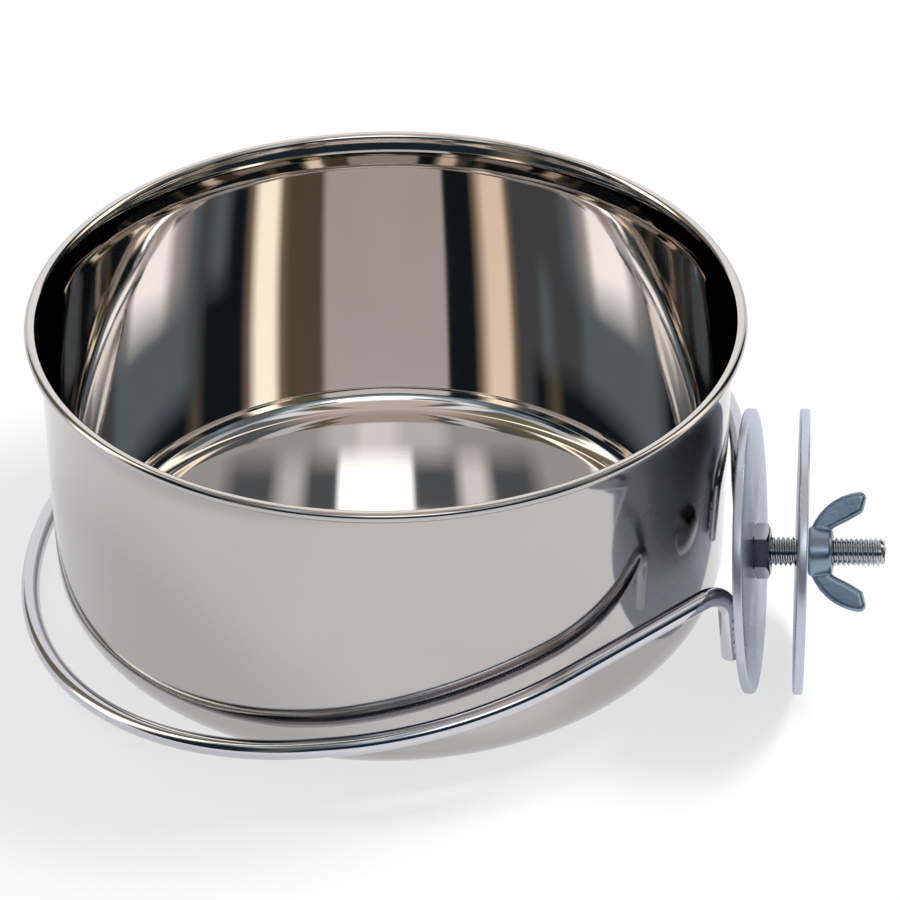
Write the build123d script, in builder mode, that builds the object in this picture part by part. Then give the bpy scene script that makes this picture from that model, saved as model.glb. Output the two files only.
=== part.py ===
"""Seed cup: a drawn steel cup standing in a wire ring holder with a bolt clamp for cage bars.

Millimetres, +Z up. The origin is the centre of the cup's flat base, and the clamp points along +X.
"""

import os
from math import acos, asin, atan2, cos, hypot, pi, radians, sin, sqrt, tan

from build123d import *

os.makedirs("parts", exist_ok=True)

# Cup: one drawn sheet with a rounded bottom corner, a flared lip and a rolled bead
wall_radius = 72.2
cup_height = 70.0
sheet = 0.7
corner_radius = 14.0
rim_overhang = 2.8
bead_radius = 1.2
lip_rise = 7.5

# Ring holder: one bent wire with its far side on the floor
wire_radius = 2.0
ring_tilt = 12.0
ring_roll = 4.0
ring_stretch = 4.0
side_clearance = 0.7
ring_shift_y = -0.6
bend_radius = 5.0
leg_half = 18.0
leg_length = 17.5

# Clamp plates
clamp_tilt = 5.5
clamp_shift_y = -19.5
plate_standoff = 4.3
plate_radius = 29.5
plate_thick = 2.0
plate_round = 0.4
plate_gap = 8.4
loose_lean = 3.5
loose_tip = 4.0

# Welds between the wire legs and the inner plate
weld_gap = 0.3
weld_half_width = 2.7
weld_length = 9.5
weld_inset = 1.5

# Bolt and lock nut, six millimetre thread
thread_radius = 3.0
thread_depth = 0.55
pitch = 1.0
bolt_reach = 27.5
head_flat = 10.0
head_thick = 2.2
nut_flat = 10.0
nut_thick = 3.2
nut_chamfer = 0.6
thread_fit = 0.05
loose_fit = 0.5

# Wing nut
hub_radius = 5.2
hub_taper = 0.5
hub_length = 5.0
hub_seat = 0.05
wing_span = 24.8
wing_length = 11.8
wing_thick = 3.0
wing_turn = 35.0
wing_root = 0.5
wing_corner = 1.4

# Cup section
rim_radius = wall_radius + rim_overhang
wall_in = wall_radius - sheet
flat_radius = wall_radius - corner_radius
inner_corner = corner_radius - sheet
bead_x = rim_radius - bead_radius
bead_z = cup_height - bead_radius
lip_z = bead_z - lip_rise
lip_out = bead_x - wall_radius
flare = (lip_rise**2 + lip_out**2) / (2 * lip_out)
flare_x = wall_radius + flare
flare_angle = asin(lip_rise / flare)
diagonal = sqrt(0.5)


def lip_point(radius, angle):
    """Point of the flared lip on an arc of the given radius."""
    return (flare_x - radius * cos(angle), lip_z + radius * sin(angle))


def corner_point(radius):
    """Middle point of the rounded bottom corner."""
    return (flat_radius + radius * diagonal, corner_radius - radius * diagonal)


with BuildPart() as cup:
    with BuildSketch(Plane.XZ) as cup_section:
        with BuildLine() as cup_outline:
            Line((0, sheet), (0, 0))
            Line((0, 0), (flat_radius, 0))
            ThreePointArc((flat_radius, 0), corner_point(corner_radius), (wall_radius, corner_radius))
            Line((wall_radius, corner_radius), (wall_radius, lip_z))
            ThreePointArc((wall_radius, lip_z), lip_point(flare, flare_angle / 2), (bead_x, bead_z))
            Line((bead_x, bead_z), lip_point(flare + sheet, flare_angle))
            ThreePointArc(
                lip_point(flare + sheet, flare_angle),
                lip_point(flare + sheet, flare_angle / 2),
                (wall_in, lip_z),
            )
            Line((wall_in, lip_z), (wall_in, corner_radius))
            ThreePointArc((wall_in, corner_radius), corner_point(inner_corner), (flat_radius, sheet))
            Line((flat_radius, sheet), (0, sheet))
        make_face()
        with Locations((bead_x, bead_z)):
            Circle(bead_radius)
    revolve(axis=Axis.Z)
cup.part.label = "cup"
export_step(cup.part, "parts/cup.step")

# Ring plane: the ring clears the cup wall, rises towards the clamp and a little towards the rear
slope = radians(ring_tilt)
roll = radians(ring_roll)
ring_out = Vector(cos(slope), 0, sin(slope))
ring_up = ring_out.cross(Vector(0, cos(roll), sin(roll))).normalized()
ring_side = ring_up.cross(ring_out)

# The ring is two half circles a small stretch apart, with its lowest point on the floor
ring_radius = (wall_radius + side_clearance + wire_radius) / cos(slope)
far_z = wire_radius + ring_radius * hypot(ring_out.Z, ring_side.Z)
near_centre = Vector(0, ring_shift_y, far_z + ring_stretch * ring_out.Z)
far_centre = near_centre - ring_out * ring_stretch

# Clamp directions: outward along the bolt, down along the plates, across the plates
tilt = radians(clamp_tilt)
out_dir = Vector(cos(tilt), 0, sin(tilt))
down_dir = Vector(sin(tilt), 0, -cos(tilt))
side_dir = Vector(0, 1, 0)

# The inner plate stands on the floor on its lower edge
half_thick = plate_thick / 2
plate_x = ring_radius * cos(slope) + plate_standoff
plate_z = plate_radius * cos(tilt) + half_thick * sin(tilt)
plate_centre = Vector(plate_x, clamp_shift_y, plate_z)
bolt_axis = Axis(plate_centre, out_dir)
clamp_plane = Plane(origin=plate_centre, x_dir=side_dir, z_dir=out_dir)
axial_plane = Plane(origin=plate_centre, x_dir=out_dir, z_dir=(0, -1, 0))


def ring_point(centre, angle):
    """Point of the wire's centre line on one of the ring's circles."""
    return centre + ring_out * (ring_radius * cos(angle)) + ring_side * (ring_radius * sin(angle))


class WireEnd:
    """One end of the wire: a straight run off the circle, a bend and a leg beside the plate."""

    def __init__(self, side):
        leg_offset = half_thick + weld_gap + wire_radius
        beside = plate_centre - out_dir * leg_offset + side_dir * (side * leg_half)
        drop = (near_centre - beside).dot(ring_up) / down_dir.dot(ring_up)
        corner = beside + down_dir * drop
        along = (corner - near_centre).dot(ring_out)
        across = (corner - near_centre).dot(ring_side)
        self.angle = atan2(across, along) + side * acos(ring_radius / hypot(along, across))
        self.touch = ring_point(near_centre, self.angle)
        run = (corner - self.touch).normalized()
        turn = acos(run.dot(down_dir))
        back = bend_radius * tan(turn / 2)
        inward = (down_dir - run).normalized()
        self.high = corner - run * back
        self.middle = corner + inward * (bend_radius / cos(turn / 2) - bend_radius)
        self.low = corner + down_dir * back
        self.end = corner + down_dir * leg_length

    def weld_plane(self):
        """Plane across the leg at the upper end of its weld, on the plate's face."""
        above = self.end - down_dir * (weld_inset + weld_length)
        return Plane(origin=above + out_dir * (weld_gap + wire_radius), x_dir=side_dir, z_dir=down_dir)


front = WireEnd(-1)
rear = WireEnd(1)
quarter = pi / 2
front_middle = ring_point(near_centre, (front.angle - quarter) / 2)
rear_middle = ring_point(near_centre, (rear.angle + quarter) / 2)

with BuildPart() as holder_ring:
    with BuildLine() as ring_path:
        Line(front.end, front.low)
        ThreePointArc(front.low, front.middle, front.high)
        Line(front.high, front.touch)
        ThreePointArc(front.touch, front_middle, ring_point(near_centre, -quarter))
        Line(ring_point(near_centre, -quarter), ring_point(far_centre, -quarter))
        ThreePointArc(
            ring_point(far_centre, -quarter),
            ring_point(far_centre, pi),
            ring_point(far_centre, quarter),
        )
        Line(ring_point(far_centre, quarter), ring_point(near_centre, quarter))
        ThreePointArc(ring_point(near_centre, quarter), rear_middle, rear.touch)
        Line(rear.touch, rear.high)
        ThreePointArc(rear.high, rear.middle, rear.low)
        Line(rear.low, rear.end)
    with BuildSketch(Plane(origin=front.end, x_dir=side_dir, z_dir=down_dir * -1)) as wire_section:
        Circle(wire_radius)
    sweep(path=ring_path.wires()[0])
holder_ring.part.label = "holder_ring"
export_step(holder_ring.part, "parts/holder_ring.step")

# Welds: a bead fills the narrow space between each leg and the plate
weld_height = weld_gap + wire_radius
for weld_name, wire_end in (("front_weld", front), ("rear_weld", rear)):
    with BuildPart() as weld:
        with BuildSketch(wire_end.weld_plane()) as weld_section:
            Ellipse(weld_half_width, weld_height)
            with Locations((0, weld_height)):
                Rectangle(4 * weld_half_width, 2 * weld_height, mode=Mode.SUBTRACT)
            with Locations((0, -weld_height)):
                Circle(wire_radius, mode=Mode.SUBTRACT)
        extrude(amount=weld_length)
    weld.part.label = weld_name
    export_step(weld.part, f"parts/{weld_name}.step")

# Inner plate, welded to the ring legs
with BuildPart() as inner_plate:
    with BuildSketch(clamp_plane.offset(-half_thick)) as inner_disc:
        Circle(plate_radius)
        Circle(thread_radius + thread_fit, mode=Mode.SUBTRACT)
    extrude(amount=plate_thick)
    fillet(inner_plate.edges().filter_by(GeomType.CIRCLE).group_by(SortBy.RADIUS)[-1], plate_round)
inner_plate.part.label = "inner_plate"
export_step(inner_plate.part, "parts/inner_plate.step")

# Clamp bolt: hex head on the cup side and a grooved shank
thread_root = thread_radius - thread_depth
groove_count = int((bolt_reach - half_thick) / pitch) - 1
groove_end = half_thick + groove_count * pitch

with BuildPart() as clamp_bolt:
    with BuildSketch(clamp_plane.offset(-half_thick - head_thick)) as bolt_head:
        RegularPolygon(head_flat / 2, 6, major_radius=False)
    extrude(amount=head_thick)
    with BuildSketch(axial_plane) as bolt_section:
        with BuildLine() as bolt_outline:
            thread_points = [(half_thick, thread_radius)]
            for groove in range(groove_count):
                thread_points.append((half_thick + (groove + 0.5) * pitch, thread_root))
                thread_points.append((half_thick + (groove + 1.0) * pitch, thread_radius))
            Polyline(*thread_points)
            Line((groove_end, thread_radius), (bolt_reach, thread_root))
            Line((bolt_reach, thread_root), (bolt_reach, 0))
            Line((bolt_reach, 0), (-half_thick, 0))
            Line((-half_thick, 0), (-half_thick, thread_radius))
            Line((-half_thick, thread_radius), (half_thick, thread_radius))
        make_face()
    revolve(axis=bolt_axis)
clamp_bolt.part.label = "clamp_bolt"
export_step(clamp_bolt.part, "parts/clamp_bolt.step")

# Lock nut on the outer face of the inner plate, its outer corners turned off
nut_corner = nut_flat / 2 / cos(radians(30))
nut_end = half_thick + nut_thick

with BuildPart() as lock_nut:
    with BuildSketch(clamp_plane.offset(half_thick)) as nut_section:
        RegularPolygon(nut_flat / 2, 6, major_radius=False)
        Circle(thread_radius + thread_fit, mode=Mode.SUBTRACT)
    extrude(amount=nut_thick)
    with BuildSketch(axial_plane) as nut_crown:
        with BuildLine() as crown_outline:
            Polyline(
                (half_thick, 0),
                (half_thick, nut_corner),
                (nut_end - nut_chamfer, nut_corner),
                (nut_end, nut_corner - 2 * nut_chamfer),
                (nut_end, 0),
                close=True,
            )
        make_face()
    revolve(axis=bolt_axis, mode=Mode.INTERSECT)
lock_nut.part.label = "lock_nut"
export_step(lock_nut.part, "parts/lock_nut.step")

# Outer plate: hangs loose on the bolt, turned a little about its upright and tipped a little outwards
outer_start = half_thick + plate_gap
outer_centre = plate_centre + out_dir * (outer_start + half_thick)
outer_lean = side_dir * tan(radians(loose_lean)) + down_dir * tan(radians(loose_tip))
outer_normal = (out_dir + outer_lean).normalized()
outer_plane = Plane(origin=outer_centre, x_dir=side_dir.cross(outer_normal), z_dir=outer_normal)

with BuildPart() as outer_plate:
    with BuildSketch(outer_plane.offset(-half_thick)) as outer_disc:
        Circle(plate_radius)
        Circle(thread_radius + loose_fit, mode=Mode.SUBTRACT)
    extrude(amount=plate_thick)
    fillet(outer_plate.edges().filter_by(GeomType.CIRCLE).group_by(SortBy.RADIUS)[-1], plate_round)
outer_plate.part.label = "outer_plate"
export_step(outer_plate.part, "parts/outer_plate.step")

# Wing nut: its hub bears on the raised edge of the leaning plate, and its wings flare away from it
hub_end_radius = hub_radius - hub_taper
wing_reach = wing_span / 2
lean = acos(outer_normal.dot(out_dir))
lean_rise = hub_radius * tan(lean) + half_thick / cos(lean) - half_thick
hub_start = outer_start + plate_thick + lean_rise + hub_seat
hub_centre = plate_centre + out_dir * hub_start
turned = radians(wing_turn)
wing_dir = side_dir * sin(turned) - down_dir * cos(turned)
wing_plane = Plane(origin=hub_centre, x_dir=out_dir, z_dir=out_dir.cross(wing_dir))
wing_foot = hub_length - wing_root
wing_tip = (wing_length - wing_corner, wing_reach)
wing_end = (wing_length, wing_reach - wing_corner)
wing_inner = (wing_length - wing_corner / 2, 0.66 * wing_reach)
wing_middle = (wing_length - 0.3 * wing_corner, wing_reach - 0.3 * wing_corner)

with BuildPart() as wing_nut:
    with BuildSketch(wing_plane) as hub_section:
        with BuildLine() as hub_outline:
            Polyline((0, 0), (0, hub_radius), (hub_length, hub_end_radius), (hub_length, 0), close=True)
        make_face()
    revolve(axis=bolt_axis)
    with BuildSketch(wing_plane) as wing_section:
        with BuildLine() as wing_outline:
            Line((wing_root, 0), (wing_root, hub_radius - wing_root))
            ThreePointArc(
                (wing_root, hub_radius - wing_root),
                (0.33 * wing_length, 0.77 * wing_reach),
                wing_tip,
            )
            ThreePointArc(wing_tip, wing_middle, wing_end)
            Line(wing_end, wing_inner)
            ThreePointArc(wing_inner, (0.68 * wing_length, 0.51 * wing_reach), (wing_foot, hub_end_radius))
            Line((wing_foot, hub_end_radius), (wing_foot, 0))
            Line((wing_foot, 0), (wing_root, 0))
        make_face()
        mirror(about=Plane.XZ)
    extrude(amount=wing_thick / 2, both=True)
    with BuildSketch(wing_plane) as hub_bore:
        with Locations((hub_length / 2, (thread_radius + thread_fit) / 2)):
            Rectangle(2 * hub_length, thread_radius + thread_fit)
    revolve(axis=bolt_axis, mode=Mode.SUBTRACT)
wing_nut.part.label = "wing_nut"
export_step(wing_nut.part, "parts/wing_nut.step")
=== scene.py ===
"""Seed cup in a wire ring holder with a bar clamp: the dressed model and its studio.

Metres, +Z up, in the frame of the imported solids. The clamp points along +X.
"""

import logging
import math
from dataclasses import dataclass, field, replace
from enum import Enum

import bpy
from mathutils import Matrix, Vector


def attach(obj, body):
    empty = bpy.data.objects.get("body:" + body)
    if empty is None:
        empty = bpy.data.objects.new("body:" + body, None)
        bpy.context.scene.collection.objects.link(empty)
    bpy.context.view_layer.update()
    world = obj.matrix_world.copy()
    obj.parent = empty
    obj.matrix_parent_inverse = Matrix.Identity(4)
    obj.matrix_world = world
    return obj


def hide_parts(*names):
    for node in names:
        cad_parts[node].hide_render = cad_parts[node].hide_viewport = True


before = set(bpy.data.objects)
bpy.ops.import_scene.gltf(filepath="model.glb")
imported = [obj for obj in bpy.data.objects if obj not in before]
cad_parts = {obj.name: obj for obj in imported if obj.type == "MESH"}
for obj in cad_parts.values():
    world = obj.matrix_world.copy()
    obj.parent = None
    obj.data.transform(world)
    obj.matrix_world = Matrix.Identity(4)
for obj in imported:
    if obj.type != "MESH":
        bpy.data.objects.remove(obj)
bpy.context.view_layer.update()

logging.basicConfig(level=logging.INFO, format="%(name)s: %(message)s")
LOG = logging.getLogger("seed_cup")

MM = 0.001
MERGE = 1e-7
QUARTER = math.pi / 2
CIRCLE = 360.0
Point = tuple[float, float]
Tone = tuple[float, float, float]

# Sizes that several pieces share
CUP_WALL = 72.2 * MM
SIDE_CLEARANCE = 0.7 * MM
WIRE = 2.0 * MM
PLATE_RADIUS = 29.5 * MM
PLATE_THICK = 2.0 * MM

# Noise of all finishes: the band of its values that counts, its detail, and the drift of spun marks
NOISE_BAND = (0.3, 0.7)
SMUDGE_DETAIL = 3.0
MARK_DETAIL = 4.0
DRIFT_DETAIL = 1.0
DRIFT_SCALE = 12.0
DRIFT_REACH = 0.6 * MM


class Body(Enum):
    """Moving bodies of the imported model."""

    HOLDER = "holder"
    CUP = "cup"
    OUTER_PLATE = "outer_plate"
    WING_NUT = "wing_nut"


class Grain(Enum):
    """Which way the fine marks of a finish run."""

    SPUN = "spun"
    EVEN = "even"


def work_out(tree: bpy.types.NodeTree, how: str, first: object,
             second: object = 0.0) -> bpy.types.NodeSocket:
    """Add a math node.

    Args:
        tree: Node tree that gets the node.
        how: Its operation.
        first: First input, a socket or a number.
        second: Second input, a socket or a number.

    Returns:
        The result.
    """
    node = tree.nodes.new("ShaderNodeMath")
    node.operation = how
    for slot, value in zip(node.inputs, (first, second)):
        if isinstance(value, bpy.types.NodeSocket):
            tree.links.new(value, slot)
        else:
            slot.default_value = value
    return node.outputs["Value"]


def hypotenuse(tree: bpy.types.NodeTree, first: bpy.types.NodeSocket,
               second: bpy.types.NodeSocket) -> bpy.types.NodeSocket:
    """Length of two square sides together.

    Args:
        tree: Node tree that gets the nodes.
        first: First side.
        second: Second side.

    Returns:
        The length.
    """
    squares = [work_out(tree, "MULTIPLY", side, side) for side in (first, second)]
    return work_out(tree, "SQRT", work_out(tree, "ADD", *squares))


def spread(tree: bpy.types.NodeTree, value: bpy.types.NodeSocket, band: Point, low: float = 0.0,
           high: float = 1.0) -> bpy.types.NodeSocket:
    """Stretch a band of values over a range and hold it at the range's ends.

    Args:
        tree: Node tree that gets the node.
        value: Value to stretch.
        band: Values that become the range's ends.
        low: First end of the range.
        high: Last end of the range.

    Returns:
        The stretched value.
    """
    node = tree.nodes.new("ShaderNodeMapRange")
    limits = {"From Min": band[0], "From Max": band[1], "To Min": low, "To Max": high}
    for name, limit in limits.items():
        node.inputs[name].default_value = limit
    tree.links.new(value, node.inputs["Value"])
    return node.outputs["Result"]


def blend(tree: bpy.types.NodeTree, share: bpy.types.NodeSocket, first: object, second: object,
          how: str = "MIX") -> bpy.types.NodeSocket:
    """Blend two colours.

    Args:
        tree: Node tree that gets the node.
        share: Share of the second colour.
        first: First colour, a socket or a tone.
        second: Second colour, a socket or a tone.
        how: Kind of blend.

    Returns:
        The blend.
    """
    node = tree.nodes.new("ShaderNodeMix")
    node.data_type = "RGBA"
    node.blend_type = how
    tree.links.new(share, node.inputs["Factor"])
    # A mix node's colours are its inputs 6 and 7 and its output 2
    for slot, value in zip(node.inputs[6:8], (first, second)):
        if isinstance(value, bpy.types.NodeSocket):
            tree.links.new(value, slot)
        else:
            slot.default_value = (*value, 1.0)
    return node.outputs[2]


def mix_shaders(tree: bpy.types.NodeTree, share: bpy.types.NodeSocket, first: bpy.types.NodeSocket,
                second: bpy.types.NodeSocket) -> bpy.types.NodeSocket:
    """Mix two shaders.

    Args:
        tree: Node tree that gets the node.
        share: Share of the second shader.
        first: First shader.
        second: Second shader.

    Returns:
        The mixed shader.
    """
    node = tree.nodes.new("ShaderNodeMixShader")
    for slot, value in zip(node.inputs, (share, first, second)):
        tree.links.new(value, slot)
    return node.outputs["Shader"]


@dataclass(frozen=True)
class Skin:
    """Duller outer skin of a drawn cup, its colour darkened with painted shade, told from the inside by its
    distance from the corner's middle.
    """

    corner: Point
    reach: float
    lip_low: float
    lip_curve: float
    tone: Tone
    roughness: float

    def share(self, tree: bpy.types.NodeTree, place: bpy.types.NodeSocket) -> bpy.types.NodeSocket:
        """Value that is 1 on the outer skin and 0 inside.

        Args:
            tree: Node tree of the material.
            place: Object coordinates.

        Returns:
            The share of the outer skin.
        """
        split = tree.nodes.new("ShaderNodeSeparateXYZ")
        tree.links.new(place, split.inputs["Vector"])
        height = split.outputs["Z"]
        away = hypotenuse(tree, split.outputs["X"], split.outputs["Y"])
        lip = work_out(tree, "MAXIMUM", work_out(tree, "SUBTRACT", height, self.lip_low), 0.0)
        flare = work_out(tree, "DIVIDE", work_out(tree, "MULTIPLY", lip, lip), 2.0 * self.lip_curve)
        away = work_out(tree, "SUBTRACT", away, flare)
        across = work_out(tree, "MAXIMUM", work_out(tree, "SUBTRACT", away, self.corner[0]), 0.0)
        below = work_out(tree, "MAXIMUM", work_out(tree, "SUBTRACT", self.corner[1], height), 0.0)
        return work_out(tree, "GREATER_THAN", hypotenuse(tree, across, below), self.reach)


@dataclass(frozen=True)
class MetalFinish:
    """A metal with fine marks, uneven gloss and a little uneven tone."""

    name: str
    slot: str
    color: Tone
    roughness: float
    roughness_spread: float
    tone_spread: float
    grain: Grain
    grain_scale: float
    grain_depth: float
    smudge_scale: float = 45.0
    skin: Skin | None = None
    low_angle: Tone = (1.0, 1.0, 1.0)
    metal: float = 1.0

    def material(self) -> bpy.types.Material:
        """Build the node material once and hand it out again later.

        Returns:
            The material of this finish.
        """
        known = bpy.data.materials.get(self.name)
        if known is not None:
            return known
        made = bpy.data.materials.new(self.name)
        made.use_nodes = True
        tree = made.node_tree
        shader = tree.nodes["Principled BSDF"]
        shader.inputs["Metallic"].default_value = self.metal
        shader.inputs["Specular Tint"].default_value = (*self.low_angle, 1.0)
        place = tree.nodes.new("ShaderNodeTexCoord").outputs["Object"]
        smudge = self._noise(tree, place, self.smudge_scale, SMUDGE_DETAIL)
        outer = self.skin.share(tree, place) if self.skin else None
        self._tone(tree, shader, smudge, outer)
        self._gloss(tree, shader, smudge, outer)
        self._marks(tree, shader, self._grain_place(tree, place))
        return made

    def _noise(self, tree: bpy.types.NodeTree, place: bpy.types.NodeSocket, scale: float,
               detail: float) -> bpy.types.NodeSocket:
        """Add a noise texture.

        Args:
            tree: Node tree that gets the node.
            place: Coordinates that the noise reads.
            scale: Noise scale in cycles per metre.
            detail: Noise detail.

        Returns:
            The noise value.
        """
        noise = tree.nodes.new("ShaderNodeTexNoise")
        noise.inputs["Scale"].default_value = scale
        noise.inputs["Detail"].default_value = detail
        tree.links.new(place, noise.inputs["Vector"])
        return noise.outputs["Fac"]

    def _tone(self, tree: bpy.types.NodeTree, shader: bpy.types.Node, smudge: bpy.types.NodeSocket,
              outer: bpy.types.NodeSocket | None) -> None:
        """Vary the colour a little over the surface, and darken the outer skin with painted shade.

        Args:
            tree: Node tree of the material.
            shader: Shader that takes the colour.
            smudge: Noise value that drives the tone.
            outer: Share of the outer skin, if the finish has one.
        """
        low = [c * (1.0 - self.tone_spread) for c in self.color]
        high = [min(1.0, c * (1.0 + self.tone_spread)) for c in self.color]
        tone = blend(tree, spread(tree, smudge, NOISE_BAND), low, high)
        if outer is not None:
            # Painted shade: the outer skin's colour is multiplied by a darker tone
            tone = blend(tree, outer, tone, self.skin.tone, "MULTIPLY")
        tree.links.new(tone, shader.inputs["Base Color"])

    def _gloss(self, tree: bpy.types.NodeTree, shader: bpy.types.Node, smudge: bpy.types.NodeSocket,
               outer: bpy.types.NodeSocket | None) -> None:
        """Vary the roughness over the surface.

        Args:
            tree: Node tree of the material.
            shader: Shader that takes the roughness.
            smudge: Noise value that drives the gloss.
            outer: Share of the outer skin, if the finish has one.
        """
        low = max(0.0, self.roughness - self.roughness_spread)
        gloss = spread(tree, smudge, NOISE_BAND, low, self.roughness + self.roughness_spread)
        if outer is not None:
            gloss = work_out(tree, "ADD", gloss, work_out(tree, "MULTIPLY", outer, self.skin.roughness))
        tree.links.new(gloss, shader.inputs["Roughness"])

    def _grain_place(self, tree: bpy.types.NodeTree,
                     place: bpy.types.NodeSocket) -> bpy.types.NodeSocket:
        """Turn object coordinates into coordinates that the fine marks follow.

        Args:
            tree: Node tree of the material.
            place: Object coordinates.

        Returns:
            Coordinates for the marks.
        """
        if self.grain is not Grain.SPUN:
            return place
        split = tree.nodes.new("ShaderNodeSeparateXYZ")
        tree.links.new(place, split.inputs["Vector"])
        away = hypotenuse(tree, split.outputs["X"], split.outputs["Y"])
        drift = self._noise(tree, place, DRIFT_SCALE, DRIFT_DETAIL)
        rings = tree.nodes.new("ShaderNodeCombineXYZ")
        tree.links.new(away, rings.inputs["X"])
        tree.links.new(work_out(tree, "MULTIPLY", drift, DRIFT_REACH), rings.inputs["Y"])
        tree.links.new(split.outputs["Z"], rings.inputs["Z"])
        return rings.outputs["Vector"]

    def _marks(self, tree: bpy.types.NodeTree, shader: bpy.types.Node,
               place: bpy.types.NodeSocket) -> None:
        """Add the fine marks as bump.

        Args:
            tree: Node tree of the material.
            shader: Shader that takes the normal.
            place: Coordinates that the marks follow.
        """
        marks = self._noise(tree, place, self.grain_scale, MARK_DETAIL)
        bump = tree.nodes.new("ShaderNodeBump")
        bump.inputs["Strength"].default_value = 1.0
        bump.inputs["Distance"].default_value = self.grain_depth
        tree.links.new(marks, bump.inputs["Height"])
        tree.links.new(bump.outputs["Normal"], shader.inputs["Normal"])

    def dress(self, piece: bpy.types.Object) -> None:
        """Give a piece this finish.

        Args:
            piece: Piece to dress.
        """
        piece.data.materials.clear()
        piece.data.materials.append(self.material())


CUP_STEEL = MetalFinish(
    "mirror_polished_steel", "cup_steel", color=(0.69, 0.655, 0.63), roughness=0.03, roughness_spread=0.012,
    tone_spread=0.015, grain=Grain.SPUN, grain_scale=1600.0, grain_depth=0.001 * MM,
)
RING_PLATE = MetalFinish(
    "bright_plated_wire", "ring_chrome", color=(0.60, 0.60, 0.64), roughness=0.07, roughness_spread=0.03,
    tone_spread=0.03, grain=Grain.EVEN, grain_scale=900.0, grain_depth=0.0025 * MM,
)
WELD_METAL = MetalFinish(
    "plated_weld", "weld_steel", color=(0.42, 0.42, 0.45), roughness=0.22, roughness_spread=0.06,
    tone_spread=0.10, grain=Grain.EVEN, grain_scale=1400.0, grain_depth=0.02 * MM,
)
SHEET_PLATE = MetalFinish(
    "plated_sheet", "plate_steel", color=(0.54, 0.57, 0.65), roughness=0.28, roughness_spread=0.06,
    tone_spread=0.04, grain=Grain.EVEN, grain_scale=1200.0, grain_depth=0.002 * MM,
    low_angle=(0.75, 0.79, 0.87), metal=0.72,
)
BOLT_ZINC = MetalFinish(
    "bright_zinc", "zinc", color=(0.50, 0.51, 0.53), roughness=0.16, roughness_spread=0.06,
    tone_spread=0.06, grain=Grain.EVEN, grain_scale=1500.0, grain_depth=0.006 * MM,
)
CAST_ZINC = MetalFinish(
    "cast_zinc", "zinc", color=(0.24, 0.32, 0.40), roughness=0.34, roughness_spread=0.08,
    tone_spread=0.10, grain=Grain.EVEN, grain_scale=1100.0, grain_depth=0.03 * MM, smudge_scale=160.0,
)


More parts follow.
